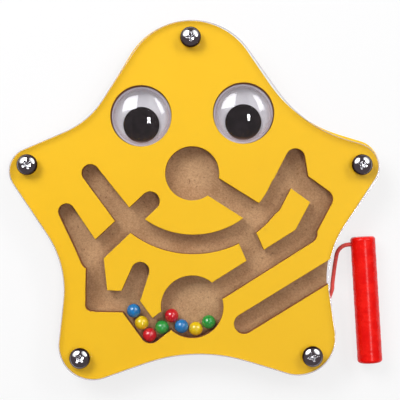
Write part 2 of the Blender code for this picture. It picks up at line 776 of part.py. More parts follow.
def plateMiddle():
    """The middle of the box round the board and the pen."""
    left = min(x - radius for x, _, radius in LOBE_SHARES) * BOARD_WIDTH
    top = max(y + radius for _, y, radius in LOBE_SHARES) * BOARD_WIDTH
    bottom = min(y - radius for _, y, radius in LOBE_SHARES) * BOARD_WIDTH
    return Vector(((left + boardRight() + PEN_OVERHANG) / 2, (top + bottom) / 2, 0))


clearScene()
maze = empty("maze", -plateMiddle())
makeBoard(maze)
makeFasteners(maze)
makeEyes(maze)
makeBalls(maze)
makePen(maze)
makeCord(maze)
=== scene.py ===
# A star-shaped bead maze, its rolling eyes, coloured balls, and a magnet pen on a red cord.
import math

import bmesh
import bpy
import numpy as np
from mathutils.geometry import delaunay_2d_cdt
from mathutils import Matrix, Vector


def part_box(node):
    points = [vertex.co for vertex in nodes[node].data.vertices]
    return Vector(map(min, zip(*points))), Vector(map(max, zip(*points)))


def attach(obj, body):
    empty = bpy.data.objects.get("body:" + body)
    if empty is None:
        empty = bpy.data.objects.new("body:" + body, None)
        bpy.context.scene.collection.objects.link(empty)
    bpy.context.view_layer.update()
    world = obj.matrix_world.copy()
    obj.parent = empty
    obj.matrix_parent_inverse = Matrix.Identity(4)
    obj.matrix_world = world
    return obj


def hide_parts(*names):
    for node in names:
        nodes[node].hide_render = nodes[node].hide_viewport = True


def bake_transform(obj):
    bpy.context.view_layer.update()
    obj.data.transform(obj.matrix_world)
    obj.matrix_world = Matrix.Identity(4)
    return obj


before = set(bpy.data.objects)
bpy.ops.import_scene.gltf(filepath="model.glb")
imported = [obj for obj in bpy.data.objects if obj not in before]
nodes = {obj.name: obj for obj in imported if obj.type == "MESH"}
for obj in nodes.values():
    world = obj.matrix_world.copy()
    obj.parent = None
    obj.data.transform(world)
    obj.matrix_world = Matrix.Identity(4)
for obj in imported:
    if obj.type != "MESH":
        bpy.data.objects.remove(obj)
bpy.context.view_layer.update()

mm = 0.001
seatGap = 0.3 * mm  # the clearance that every layer keeps
boardShift = np.array([-0.00122275, 0.00038625, 0.0])  # from the board's plan to the frame
weldDistance = 0.002 * mm  # corners of a solid that lie nearer than this are one
fineWeld = weldDistance / 20  # the same for the finished meshes
tiny = 1e-9  # keeps a division off zero
allSmooth = 180  # an angle that makes no edge sharp


# Shader maths

def mathsOperator(operation, swapped=False):
    # an operator that adds a Math node, with its two sides swapped for the reflected form
    def apply(self, other):
        first, second = (other, self) if swapped else (self, other)
        return self.sheet.node("Math", {"operation": operation}, {0: first, 1: second})
    return apply


class Signal:
    # an output socket that can stand in a sum
    def __init__(self, sheet, socket):
        self.sheet = sheet
        self.socket = socket

    __add__ = __radd__ = mathsOperator("ADD")
    __mul__ = __rmul__ = mathsOperator("MULTIPLY")
    __sub__ = mathsOperator("SUBTRACT")
    __rsub__ = mathsOperator("SUBTRACT", swapped=True)
    __pow__ = mathsOperator("POWER")


class NodeSheet:
    # the nodes of one material, or of the world
    def __init__(self, tree):
        self.tree = tree
        tree.nodes.clear()

    def node(self, kind, settings=None, sockets=None, output=0):
        made = self.tree.nodes.new("ShaderNode" + kind)
        for key, value in (settings or {}).items():
            setattr(made, key, value)
        for key, value in (sockets or {}).items():
            if isinstance(value, Signal):
                self.tree.links.new(value.socket, made.inputs[key])
            else:
                made.inputs[key].default_value = value
        return Signal(self, made.outputs[output]) if len(made.outputs) else made

    def objectPoint(self):
        return self.node("TexCoord", output="Object")

    def noise(self, point, scale, detail, roughness):
        sockets = {"Vector": point, "Scale": scale, "Detail": detail, "Roughness": roughness}
        return self.node("TexNoise", None, sockets, "Fac")

    def ramp(self, value, low, high):
        # 0 below low, 1 above high, and a smooth rise between them
        settings = {"interpolation_type": "SMOOTHSTEP"}
        return self.node("MapRange", settings, {"Value": value, "From Min": low, "From Max": high})

    def blend(self, share, first, second):
        # a Mix node's sockets 6 and 7 are its two colours, and its output 2 is the blended colour
        return self.node("Mix", {"data_type": "RGBA"}, {0: share, 6: first, 7: second}, 2)

    def bump(self, height, distance, strength):
        sockets = {"Height": height, "Distance": distance, "Strength": strength}
        return self.node("Bump", None, sockets, "Normal")

    def attribute(self, name):
        return self.node("Attribute", {"attribute_name": name}, None, "Fac")


def lightOf(*tint):
    # a screen colour, 0 to 255, as the shader's own light values, by the usual screen curve
    share = np.array(tint) / 255
    bright = ((share + 0.055) / 1.055) ** 2.4
    return (*np.where(share <= 0.04045, share / 12.92, bright).tolist(), 1.0)


def newFinish(name):
    material = bpy.data.materials.new(name)
    material.use_nodes = True
    return material, NodeSheet(material.node_tree)


def closeFinish(material, sheet, sockets):
    shader = sheet.node("BsdfPrincipled", None, sockets)
    sheet.node("OutputMaterial", None, {"Surface": shader})
    return material


# Finishes

# each noise is its scale, detail and roughness, and each range the start and end of a smooth rise
fibreboard = {
    "light": (212, 172, 130), "dark": (176, 134, 94), "fleck": (128, 90, 60),
    "burnt": (160, 92, 36), "burntShare": 0.75, "roughness": 0.85, "mirror": 0.25,
    "clouds": (90, 3, 0.6), "cloudShare": 0.4, "grain": (1300, 3, 0.7), "toneRange": (0.32, 0.68),
    "flecks": (780, 1, 0.4), "fleckRange": (0.68, 0.78), "fleckShare": 0.55,
    "relief": 0.06 * mm, "reliefShare": 0.5,
}
mazePaint = {
    "yellow": (255, 205, 26), "deep": (252, 198, 16), "roughness": 0.42, "mirror": 0.25,
    "film": 0.22 * mm, "fullFilmShare": 0.6,  # whole down to this share of its depth, thinner below
    "clouds": (26, 2, 0.5), "cloudRoughness": 0.1,
    "specks": (520, 1, 0.5), "speckRange": (0.74, 0.80), "speckShare": 0.12,
    "peel": (700, 2, 0.5), "peelShare": 0.25, "scorchShare": 0.8,
    "relief": 0.05 * mm, "reliefShare": 0.5,
}
clearPlastic = {"slantBlend": 0.5, "slantPower": 5, "roughness": 0.04, "edgeRoughness": 0.2}
brightMetal = {"wear": (900, 3, 0.6), "wearRange": (0.45, 0.75), "relief": 0.01 * mm, "reliefShare": 0.2}
glossCoat = {
    "cloudDetail": 3, "cloudNoiseRoughness": 0.6, "toneRange": (0.35, 0.65), "cloudRoughness": 0.06,
    "relief": 0.01 * mm, "reliefShare": 0.1,
}
clearSheet = {
    "tint": (250, 250, 255), "facing": 0.04, "grazing": 0.9,
    "edgeTint": (196, 190, 208), "edgeShare": 0.5, "paintedEdgeGlow": 0.0, "edgeRadius": 0.16 * mm,
}
# the second tint of chrome is a painted dark reflection on the screw heads' outer rim
chrome = {"tint": (226, 226, 230), "paintedRimShadeTint": (66, 46, 48), "roughness": 0.06, "scratches": 0.08}
magnetSteel = {"tint": (178, 178, 180), "paintedRimShadeTint": (178, 178, 180), "roughness": 0.3, "scratches": 0.2}


def fibreTones(sheet, point):
    # pressed fibres: soft clouds, a fine grain and a few dark flecks, all from noise
    clouds = sheet.noise(point, *fibreboard["clouds"])
    grain = sheet.noise(point, *fibreboard["grain"])
    flecks = sheet.ramp(sheet.noise(point, *fibreboard["flecks"]), *fibreboard["fleckRange"])
    share = fibreboard["cloudShare"]
    tone = sheet.ramp(clouds * share + grain * (1 - share), *fibreboard["toneRange"])
    body = sheet.blend(tone, lightOf(*fibreboard["dark"]), lightOf(*fibreboard["light"]))
    return sheet.blend(flecks * fibreboard["fleckShare"], body, lightOf(*fibreboard["fleck"])), grain


def fibreFinish():
    material, sheet = newFinish("fibreboard")
    point = sheet.objectPoint()
    body, grain = fibreTones(sheet, point)
    cutFace = sheet.attribute("edge")
    colour = sheet.blend(cutFace * fibreboard["burntShare"], body, lightOf(*fibreboard["burnt"]))
    return closeFinish(material, sheet, {
        "Base Color": colour,
        "Roughness": fibreboard["roughness"],
        "Specular IOR Level": fibreboard["mirror"],
        "Normal": sheet.bump(grain, fibreboard["relief"], fibreboard["reliefShare"]),
    })


def paintFinish(top):
    # yellow film on the upper face and its rounded edge, scorched fibreboard below it
    material, sheet = newFinish("maze paint")
    point = sheet.objectPoint()
    body, grain = fibreTones(sheet, point)
    height = sheet.node("SeparateXYZ", None, {"Vector": point}, "Z")
    film = sheet.ramp(height, top - mazePaint["film"], top - mazePaint["film"] * mazePaint["fullFilmShare"])
    clouds = sheet.noise(point, *mazePaint["clouds"])
    specks = sheet.ramp(sheet.noise(point, *mazePaint["specks"]), *mazePaint["speckRange"])
    yellow = sheet.blend(clouds, lightOf(*mazePaint["deep"]), lightOf(*mazePaint["yellow"]))
    yellow = sheet.blend(specks * mazePaint["speckShare"], yellow, lightOf(*fibreboard["burnt"]))
    scorched = sheet.blend(mazePaint["scorchShare"], body, lightOf(*fibreboard["burnt"]))
    peel = sheet.noise(point, *mazePaint["peel"])
    rough = fibreboard["roughness"]
    relief = film * mazePaint["peelShare"] * peel + (1 - film) * grain
    return closeFinish(material, sheet, {
        "Base Color": sheet.blend(film, scorched, yellow),
        "Roughness": film * (mazePaint["roughness"] - rough + mazePaint["cloudRoughness"] * clouds) + rough,
        "Specular IOR Level": mazePaint["mirror"],
        "Normal": sheet.bump(relief, mazePaint["relief"], mazePaint["reliefShare"]),
    })


def clearFinish(name, look):
    # a mirror that shows only as much as clear plastic reflects: little face on, more at a slant
    material, sheet = newFinish(name)
    slant = sheet.node("LayerWeight", None, {"Blend": clearPlastic["slantBlend"]}, "Facing")
    edge = sheet.attribute("edge")
    gloss = look["facing"] + (look["grazing"] - look["facing"]) * slant ** clearPlastic["slantPower"]
    edgeLight = lightOf(*look["edgeTint"])
    return closeFinish(material, sheet, {
        "Base Color": sheet.blend(edge, lightOf(*look["tint"]), edgeLight),
        "Metallic": 1 - edge,
        "Roughness": clearPlastic["roughness"] + clearPlastic["edgeRoughness"] * edge,
        "Alpha": gloss + edge * (look["edgeShare"] - gloss),
        # the milky edge may glow: a painted glow that lightens it, though the plastic is no lamp
        "Emission Color": sheet.blend(edge * look["paintedEdgeGlow"], (0, 0, 0, 1), edgeLight),
        "Emission Strength": 1.0,
    })


def metalFinish(name, look):
    # bright and faintly scratched; where the attribute marks a screw head's outer rim, the colour turns to a
    # painted dark reflection
    material, sheet = newFinish(name)
    wear = sheet.noise(sheet.objectPoint(), *brightMetal["wear"])
    paintedRimShade = sheet.attribute("paintedRimShade")
    return closeFinish(material, sheet, {
        "Base Color": sheet.blend(paintedRimShade, lightOf(*look["tint"]), lightOf(*look["paintedRimShadeTint"])),
        "Metallic": 1.0,
        "Roughness": look["roughness"] + look["scratches"] * sheet.ramp(wear, *brightMetal["wearRange"]),
        "Normal": sheet.bump(wear, brightMetal["relief"], brightMetal["reliefShare"]),
    })


def glossFinish(name, look):
    # an even coat of colour with faint clouds
    material, sheet = newFinish(name)
    clouds = sheet.noise(sheet.objectPoint(), look["cloudScale"], glossCoat["cloudDetail"],
                         glossCoat["cloudNoiseRoughness"])
    tone = sheet.ramp(clouds, *glossCoat["toneRange"])
    return closeFinish(material, sheet, {
        "Base Color": sheet.blend(tone, lightOf(*look["shadeTint"]), lightOf(*look["tint"])),
        "Roughness": look["roughness"] + glossCoat["cloudRoughness"] * clouds,
        "IOR": look["ior"],
        "Specular IOR Level": look["mirror"],
        "Normal": sheet.bump(clouds, glossCoat["relief"], glossCoat["reliefShare"]),
    })


def cordFinish():
    # matt yarn with pale lint: lighter on the strands and darker between them, a painted shade in the dips
    # of the braid
    material, sheet = newFinish("cord red")
    fuzz = sheet.noise(sheet.objectPoint(), *cord["fuzz"])
    raised = sheet.attribute("raised")
    # painted shade: the colour darkens where the strands dip
    tone = sheet.blend(raised, lightOf(*cord["shadeTint"]), lightOf(*cord["tint"]))
    return closeFinish(material, sheet, {
        "Base Color": sheet.blend(fuzz * cord["lintShare"], tone, lightOf(*cord["lintTint"])),
        "Roughness": cord["roughness"],
        "Sheen Weight": cord["sheen"],
        "Normal": sheet.bump(fuzz, cord["fuzzRelief"], cord["fuzzReliefShare"]),
    })


# Mesh tools

def span(node):
    # a node's lowest corner, highest corner and middle
    low, high = (np.array(corner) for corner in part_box(node))
    return low, high, (low + high) / 2


def gridFaces(rows, places, start=0):
    # four corners a face: along the ring, then on to the next ring
    index = start + np.arange(rows * places).reshape(rows, places)
    near, far = index[:-1], index[1:]
    corners = [near, np.roll(near, -1, axis=1), np.roll(far, -1, axis=1), far]
    return np.stack(corners, axis=-1).reshape(-1, 4)


def finishMesh(name, points, faces, values, sharp):
    # one closed mesh: doubled seams and poles are welded, and its numbers are kept by point
    mesh = bpy.data.meshes.new(name)
    mesh.from_pydata(points.tolist(), [], [face.tolist() for face in faces])
    for key, numbers in values.items():
        mesh.attributes.new(key, "FLOAT", "POINT").data.foreach_set("value", numbers.astype(np.float32))
    bm = bmesh.new()
    bm.from_mesh(mesh)
    bmesh.ops.remove_doubles(bm, verts=bm.verts, dist=fineWeld)
    bm.to_mesh(mesh)
    bm.free()
    mesh.shade_smooth()
    mesh.set_sharp_from_angle(angle=math.radians(sharp))
    made = bpy.data.objects.new(name, mesh)
    bpy.context.scene.collection.objects.link(made)
    return made


def dress(piece, material, slot, body, *stoodFor):
    # the piece's finish, the record's slot (not used), the body it rides on and the nodes it stands for
    piece.data.materials.clear()
    piece.data.materials.append(material)
    if body:
        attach(piece, body)
    if stoodFor:
        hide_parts(*stoodFor)
    return piece


def ringPiece(name, points, values=None, sharp=35):
    # points[ring, place], each ring closed on itself
    rows, places = points.shape[:2]
    flat = {key: numbers.ravel() for key, numbers in (values or {}).items()}
    return finishMesh(name, points.reshape(-1, 3), gridFaces(rows, places), flat, sharp)


def turnedPoints(profile, centre, sides, forward=(0, 0, 1), side=(1, 0, 0)):
    # each profile point (radius, height) carried once round the axis
    profile = np.asarray(profile, float)
    forward, side = np.asarray(forward, float), np.asarray(side, float)
    across = np.cross(forward, side)
    angle = np.linspace(0, 2 * np.pi, sides, endpoint=False)
    outward = np.cos(angle)[:, None] * side + np.sin(angle)[:, None] * across
    out = profile[:, 0, None, None] * outward[None]
    return np.asarray(centre) + out + profile[:, 1, None, None] * forward


def arcProfile(centre, radius, start, end, count):
    # part of a circle in the profile's plane, angles in degrees from the outward direction
    angle = np.radians(np.linspace(start, end, count))
    return [(centre[0] + radius * c, centre[1] + radius * s) for c, s in zip(np.cos(angle), np.sin(angle))]


# Plates: outlines come from the frame, then get finer and rounded

# an outline is smooth at turns under smoothTurn degrees, and between short sides under shortTurn
plates = {
    "smoothTurn": 14, "shortTurn": 30, "shortSide": 1.6 * mm, "reach": 9 * mm,
    "levelNormal": 0.9, "sharpestTurn": 2.6, "leastSpread": 0.4, "sameMiddle": 0.5 * mm,
    "edgeRadius": 0.24 * mm, "border": 0.15 * mm, "edgeSteps": 4, "cornerRoom": 0.08 * mm,
    "knotRoom": 0.4 * mm, "sharp": 50,
}


def plateOutlines(node, upper=True):
    # closed plan outlines of a plate's upper or lower face, its material on their left
    bm = bmesh.new()
    bm.from_mesh(nodes[node].data)
    bmesh.ops.remove_doubles(bm, verts=bm.verts, dist=weldDistance)
    bm.faces.index_update()
    way = 1 if upper else -1
    level = max(way * vertex.co.z for vertex in bm.verts)
    cap = [face for face in bm.faces if way * face.normal.z > plates["levelNormal"]
           and abs(way * face.calc_center_median().z - level) < weldDistance]
    numbers = {face.index for face in cap}
    following = {}
    for face in cap:
        for corner in face.loops:
            if any(other.index not in numbers for other in corner.edge.link_faces):
                following[corner.vert] = corner.link_loop_next.vert
    outlines = []
    while following:
        first, vertex = following.popitem()
        loop = [first]
        while vertex is not first:
            loop.append(vertex)
            vertex = following.pop(vertex)
        outlines.append(np.array([vertex.co[:2] for vertex in loop])[::way])
    bm.free()
    return sorted(outlines, key=lambda loop: -np.ptp(loop, axis=0).max())


def lengthsOf(vectors):
    return np.linalg.norm(vectors, axis=-1)


def refined(loop):
    # a point half way along each side, on the curve through its two ends and their neighbours
    step = np.roll(loop, -1, axis=0) - loop
    length = lengthsOf(step)
    before, lengthBefore = np.roll(step, 1, axis=0), np.roll(length, 1)
    cosine = (step * before).sum(1) / (length * lengthBefore)
    turn = np.degrees(np.arccos(np.clip(cosine, -1, 1)))
    short = np.maximum(length, lengthBefore) < plates["shortSide"]
    smooth = (turn < plates["smoothTurn"]) | (short & (turn < plates["shortTurn"]))
    smoothAhead = np.roll(smooth, -1)
    after, lengthAfter = np.roll(step, -1, axis=0), np.roll(length, -1)
    reach = np.minimum(length, plates["reach"])
    back = -before * np.minimum(1, reach / lengthBefore)[:, None]
    ahead = after * np.minimum(1, reach / lengthAfter)[:, None]
    straight = step * np.minimum(1, reach / length)[:, None]
    back = np.where(smooth[:, None], back, -straight)
    ahead = np.where(smoothAhead[:, None], ahead, straight)
    # a curve through four points passes the middle two half way at the chord's middle, less a
    # sixteenth of the steps that lead out from them
    middle = loop + step / 2 - (back + ahead) / 16
    return np.stack([loop, middle], axis=1).reshape(-1, 2)


def thinned(loop, depth):
    # drops the points that a mitred corner would pass when the outline moves in by the depth
    step = np.roll(loop, -1, axis=0) - loop
    length = lengthsOf(step)
    before = np.roll(step, 1, axis=0)
    turn = np.arctan2(np.cross(before, step), (before * step).sum(1))
    corner = np.flatnonzero(np.abs(turn) > math.radians(plates["shortTurn"]))
    walked = np.concatenate([[0], np.cumsum(length)])
    gap = np.abs(walked[:-1, None] - walked[corner])
    gap = np.minimum(gap, walked[-1] - gap)
    room = depth * np.tan(np.clip(turn[corner], 0, plates["sharpestTurn"]) / 2) + plates["cornerRoom"]
    keep = (gap > room).all(axis=1)
    keep[corner] = True
    return loop[keep]


def inset(loop, distance):
    # the outline moved towards its material, corners mitred
    step = np.roll(loop, -1, axis=0) - loop
    ahead = np.stack([-step[:, 1], step[:, 0]], axis=1) / lengthsOf(step)[:, None]
    behind = np.roll(ahead, 1, axis=0)
    spread = np.maximum(1 + (ahead * behind).sum(1), plates["leastSpread"])
    return loop + (ahead + behind) / spread[:, None] * distance


def edgeProfile(bottom, top, radius):
    # (inset, height, edge share) up the wall: flat border, rounded corner, wall, corner, border
    quarter = np.linspace(0, np.pi / 2, plates["edgeSteps"] + 1)
    wide = radius + plates["border"]
    lower = [(radius * (1 - s), bottom + radius * (1 - c), 1.0)
             for s, c in zip(np.sin(quarter), np.cos(quarter))]
    upper = [(depth, top + bottom - height, share) for depth, height, share in lower[::-1]]
    return [(wide, bottom, 0.0), *lower, *upper, (wide, top, 0.0)]


def signedArea(loop):
    return np.cross(loop, np.roll(loop, -1, axis=0)).sum() / 2


def capFaces(loops, start):
    # flat triangles between the first outline and the others
    points = np.concatenate(loops)
    starts = np.cumsum([0] + [len(loop) for loop in loops])
    sides = []
    for first, loop in zip(starts, loops):
        # the fill spreads from an outline's first side, so that is its longest one
        longest = lengthsOf(np.roll(loop, -1, axis=0) - loop).argmax()
        order = np.arange(len(loop))
        order = np.roll(order, -longest - 2)[::-1] if signedArea(loop) < 0 else np.roll(order, -longest)
        sides.append((first + order).tolist())
    places, _, faces, _, _, sources = delaunay_2d_cdt(points.tolist(), [], sides, 0, fineWeld, True)
    triangles = [face for face, source in zip(faces, sources) if source == [0]]
    return np.array([place[:] for place in places]), start + np.array(triangles)


def platePiece(name, radius=plates["edgeRadius"]):
    # walls round every outline, closed by flat caps; a blind pocket gets a roof instead
    low, high, _ = span(name)
    through = plateOutlines(name)
    middles = [loop.mean(0) for loop in through]
    blind = [loop for loop in plateOutlines(name, upper=False)
             if min(lengthsOf(loop.mean(0) - middle) for middle in middles) > plates["sameMiddle"]]
    wide = radius + plates["border"]
    through = [thinned(refined(refined(loop)), wide) for loop in through]
    blind = [thinned(refined(refined(loop)), wide) for loop in blind]
    profile = edgeProfile(low[2], high[2], radius)
    points, faces, edge = [], [], []

    def add(newPoints, newFaces, newEdge):
        points.append(newPoints)
        faces.extend(newFaces)
        edge.append(newEdge)

    def count():
        return sum(len(some) for some in points)

    def strip(loop, rings):
        made = [np.column_stack([inset(loop, depth), np.full(len(loop), height)])
                for depth, height, _ in rings]
        shares = np.repeat([share for _, _, share in rings], len(loop))
        add(np.concatenate(made), gridFaces(len(rings), len(loop), count()), shares)

    for loop in through:
        strip(loop, profile)
    roof = knotRoof()
    for loop in blind:
        strip(loop, [*profile[:plates["edgeSteps"] + 2], (0.0, roof, 1.0)])
        plan, triangles = capFaces([loop[::-1]], count())
        add(np.column_stack([plan, np.full(len(plan), roof)]), triangles[:, ::-1], np.ones(len(plan)))
    for height, loops, order in ((high[2], through, 1), (low[2], through + blind, -1)):
        plan, triangles = capFaces([inset(loop, wide) for loop in loops], count())
        add(np.column_stack([plan, np.full(len(plan), height)]), triangles[:, ::order], np.zeros(len(plan)))
    shares = {"edge": np.concatenate(edge)}
    return finishMesh(name + "_made", np.concatenate(points), faces, shares, plates["sharp"])


def knotRoof():
    # the pocket's roof stands a little above the knot
    return span("cord_knot_board")[1][2] + plates["knotRoom"]


def makePlates():
    paint = paintFinish(span("maze_frame")[1][2])
    fibre = fibreFinish()
    sheet = clearFinish("clear sheet", clearSheet)
    for name in ("maze_frame", "smile_island", "cheek_island"):
        dress(platePiece(name), paint, "maze_paint", "root", name)
    dress(platePiece("base_board"), fibre, "fibreboard", "root", "base_board")
    cover = platePiece("clear_cover", clearSheet["edgeRadius"])
    dress(cover, sheet, "clear_sheet", "root", "clear_cover")
    print("plates: board, maze layer and cover")


# Screws and nuts

screw = {
    "rim": 0.4 * mm, "rimRound": 0.12 * mm, "shankRadius": 1.5 * mm, "tip": 0.3 * mm, "neck": 0.05 * mm,
    "sides": 144, "rings": 84, "sharp": 60,
    "recessSpan": 4.0 * mm, "slotWidth": 0.95 * mm, "taperShare": 0.35, "recessDepth": 1.45 * mm,
    "slope": 0.22 * mm, "wingFloor": 1.15, "coreReach": 1.425 * mm, "coreFloor": 1.2,
    # the outer rim of each head is painted with a dark reflection, starting at this share of its radius and
    # rising over the next
    "paintedRimShadeFrom": 0.8, "paintedRimShadeRise": 0.1,
    "turns": {"top": 0.08, "left": 0.5, "right": -0.35, "low_left": 0.9, "low_right": 0.25},
}


def recessDepthAt(x, y):
    # a cross of four wings, deepest in the middle, with slanted walls and rounded lips
    half, reach = screw["slotWidth"] / 2, screw["recessSpan"] / 2

    def wing(along, across):
        # narrower and shallower towards its end, its wall an S from 0 to 1
        width = half * (1 - screw["taperShare"] * np.abs(along) / reach)
        wall = np.clip((width + screw["slope"] / 2 - np.abs(across)) / screw["slope"], 0, 1)
        floor = np.clip(screw["wingFloor"] * (1 - np.abs(along) / reach), 0, 1)
        return wall * wall * (3 - 2 * wall) * floor

    core = np.clip(screw["coreFloor"] * (1 - (np.abs(x) + np.abs(y)) / screw["coreReach"]), 0, 1)
    return screw["recessDepth"] * np.maximum(np.maximum(wing(x, y), wing(y, x)), core)


def screwPiece(name, material):
    # rings under the head, then a dome whose height is an ellipse of the radius less the recess
    low, high, middle = span("screw_" + name)
    seat = span("clear_cover")[1][2] + seatGap
    radius, shank, rim = (high[0] - low[0]) / 2, screw["shankRadius"], screw["rim"]
    tip, neck, bend = screw["tip"], screw["neck"], screw["rimRound"]
    lower = [(0, low[2]), (shank - tip, low[2]), (shank, low[2] + tip), (shank, seat - neck),
             (shank + neck, seat), (radius - bend, seat), (radius, seat + bend)]
    share = np.sin(np.linspace(np.pi / 2, 0, screw["rings"]))
    ringRadius = radius * share
    dome = high[2] - seat - rim
    top = list(zip(ringRadius, seat + rim + dome * np.sqrt(1 - share ** 2)))
    points = turnedPoints(lower + top, (middle[0], middle[1], 0), screw["sides"])
    x, y = points[..., 0] - middle[0], points[..., 1] - middle[1]
    turn = screw["turns"][name]
    along, across = x * math.cos(turn) + y * math.sin(turn), y * math.cos(turn) - x * math.sin(turn)
    depth = recessDepthAt(along, across)
    depth[:len(lower)] = 0
    points[..., 2] -= depth
    # the outer rim of the head, where the dark reflection is painted
    paintedRimShade = np.clip((np.hypot(x, y) / radius - screw["paintedRimShadeFrom"]) / screw["paintedRimShadeRise"], 0, 1)
    piece = ringPiece("screw_" + name + "_made", points, {"paintedRimShade": paintedRimShade}, screw["sharp"])
    return dress(piece, material, "screw_chrome", "root", "screw_" + name)


nut = {
    "sleeveRadius": 2.7 * mm, "boreRadius": 1.8 * mm, "floor": 1.2 * mm, "flatShare": 0.62, "sides": 96,
    "chamfer": 0.15 * mm, "curveShare": 0.92, "curveSteps": 14,
}


def nutPiece(name, material):
    # a low round-edged foot, a sleeve up through the board and a blind bore
    low, high, middle = span("nut_" + name)
    foot, top = (high[0] - low[0]) / 2, high[2]
    height = span("base_board")[0][2] - seatGap
    flat, chamfer = foot * nut["flatShare"], nut["chamfer"]
    curve = [(flat + (foot - flat) * c, height * nut["curveShare"] * (1 + s))
             for c, s in arcProfile((0, 0), 1, -90, 0, nut["curveSteps"])]
    sleeve, bore = nut["sleeveRadius"], nut["boreRadius"]
    profile = [(0, 0), *curve, (foot - chamfer / 2, height), (sleeve, height), (sleeve, top - chamfer),
               (sleeve - chamfer, top), (bore + chamfer, top), (bore, top - chamfer), (bore, nut["floor"]),
               (0, nut["floor"])]
    piece = ringPiece("nut_" + name + "_made", turnedPoints(profile, (*middle[:2], 0), nut["sides"]))
    return dress(piece, material, "screw_chrome", "root", "nut_" + name)


def makeFasteners():
    plated = metalFinish("chrome", chrome)
    for name in screw["turns"]:
        screwPiece(name, plated)
        nutPiece(name, plated)
    print("fasteners: five screws and their nuts")


# Rolling eyes

eye = {
    "flange": 0.7 * mm, "flangeRound": 0.1 * mm, "fillet": 0.05 * mm, "wall": 0.4 * mm,
    "capRadius": 23 * mm, "capSteps": 28, "shoulder": 1.0 * mm, "shoulderSteps": 10, "sides": 144,
    "backingRound": 0.15 * mm, "sharp": 40, "milkyShare": 0.86, "milkyReach": 1.8 * mm, "milkyPower": 1.6,
    "pupilRound": 0.3 * mm, "pupilSteps": 6, "pupilSides": 128,
    "cup": {
        "tint": (248, 248, 252), "facing": 0.045, "grazing": 0.2,
        "edgeTint": (232, 228, 240), "edgeShare": 0.7, "paintedEdgeGlow": 0.22,
    # the cup's milky rim takes a painted glow, which lightens it
    },
    "white": {
        "tint": (246, 244, 251), "shadeTint": (238, 235, 244), "roughness": 0.45, "cloudScale": 160,
        "ior": 1.5, "mirror": 0.5,
    },
    "black": {
        "tint": (18, 16, 17), "shadeTint": (34, 29, 31), "roughness": 0.5, "cloudScale": 420,
        "ior": 1.5, "mirror": 0.15,
    },
}


def domeCurve(radius, top, lower):
    # up a straight wall, round a small shoulder and over a shallow cap, from the outside to the axis
    cap, bend = eye["capRadius"], eye["shoulder"]
    middle = top - cap  # height of the cap's centre
    tilt = math.asin((radius - bend) / (cap - bend))
    joint = middle + (cap - bend) * math.cos(tilt)
    shoulder = arcProfile((radius - bend, joint), bend, 0, 90 - math.degrees(tilt), eye["shoulderSteps"])
    over = [(cap * math.sin(a), middle + cap * math.cos(a))
            for a in np.linspace(tilt, 0, eye["capSteps"])[1:]]
    return [(radius, lower), *shoulder, *over]


def makeEyes():
    clear = clearFinish("eye cup", eye["cup"])
    white = glossFinish("eye white", eye["white"])
    black = glossFinish("pupil black", eye["black"])
    for side in ("left", "right"):
        low, high, middle = span("eye_backing_" + side)
        rim, radius = eye["backingRound"], (high[0] - low[0]) / 2
        profile = [(0, low[2]), (radius - rim, low[2]), (radius, low[2] + rim), (radius, high[2] - rim),
                   (radius - rim, high[2]), (0, high[2])]
        points = turnedPoints(profile, (*middle[:2], 0), eye["sides"])
        backing = ringPiece("eye_backing_" + side + "_made", points)
        dress(backing, white, "eye_white", "root", "eye_backing_" + side)

        low, high, middle = span("eye_dome_" + side)
        radius = (high[0] - low[0]) / 2
        outer, wall, bend = radius - eye["flange"], eye["wall"], eye["flangeRound"]
        inside = domeCurve(outer - wall, high[2] - wall, low[2])
        outside = domeCurve(outer, high[2], low[2] + wall)
        profile = [*inside[::-1], (radius - bend, low[2]), (radius, low[2] + bend),
                   (radius, low[2] + wall), (outer + eye["fillet"], low[2] + wall), *outside]
        points = turnedPoints(profile, (*middle[:2], 0), eye["sides"])
        distance = np.hypot(points[..., 0] - middle[0], points[..., 1] - middle[1])
        # the cup turns milky towards its wall, where the sheet was drawn and is seen edge on; the same share
        # sets the painted glow that lightens that rim
        milky = np.clip((distance - outer) / eye["milkyReach"] + 1, 0, 1) ** eye["milkyPower"]
        values = {"edge": eye["milkyShare"] * milky}
        dome = ringPiece("eye_dome_" + side + "_made", points, values, eye["sharp"])
        dress(dome, clear, "eye_cup", "root", "eye_dome_" + side)

        low, high, middle = span("pupil_" + side)
        radius, bend, steps = (high[0] - low[0]) / 2, eye["pupilRound"], eye["pupilSteps"]
        profile = [(0, low[2]), *arcProfile((radius - bend, low[2] + bend), bend, -90, 0, steps),
                   *arcProfile((radius - bend, high[2] - bend), bend, 0, 90, steps), (0, high[2])]
        points = turnedPoints(profile, (*middle[:2], 0), eye["pupilSides"])
        pupil = ringPiece("pupil_" + side + "_made", points)
        dress(pupil, black, "pupil_black", side + "_pupil", "pupil_" + side)
    print("eyes: cups, whites and pupils")


# Balls

ball = {
    "sides": 64, "rings": 33, "dent": 0.02 * mm,
    "coat": {"roughness": 0.03, "cloudScale": 900, "ior": 1.6, "mirror": 1.0},
    "tints": {
        "blue": {"tint": (24, 142, 214), "shadeTint": (16, 126, 200)},
        "yellow": {"tint": (255, 220, 8), "shadeTint": (246, 204, 4)},
        "red": {"tint": (230, 24, 44), "shadeTint": (216, 14, 36)},
        "green": {"tint": (40, 172, 72), "shadeTint": (30, 156, 60)},
    },
}


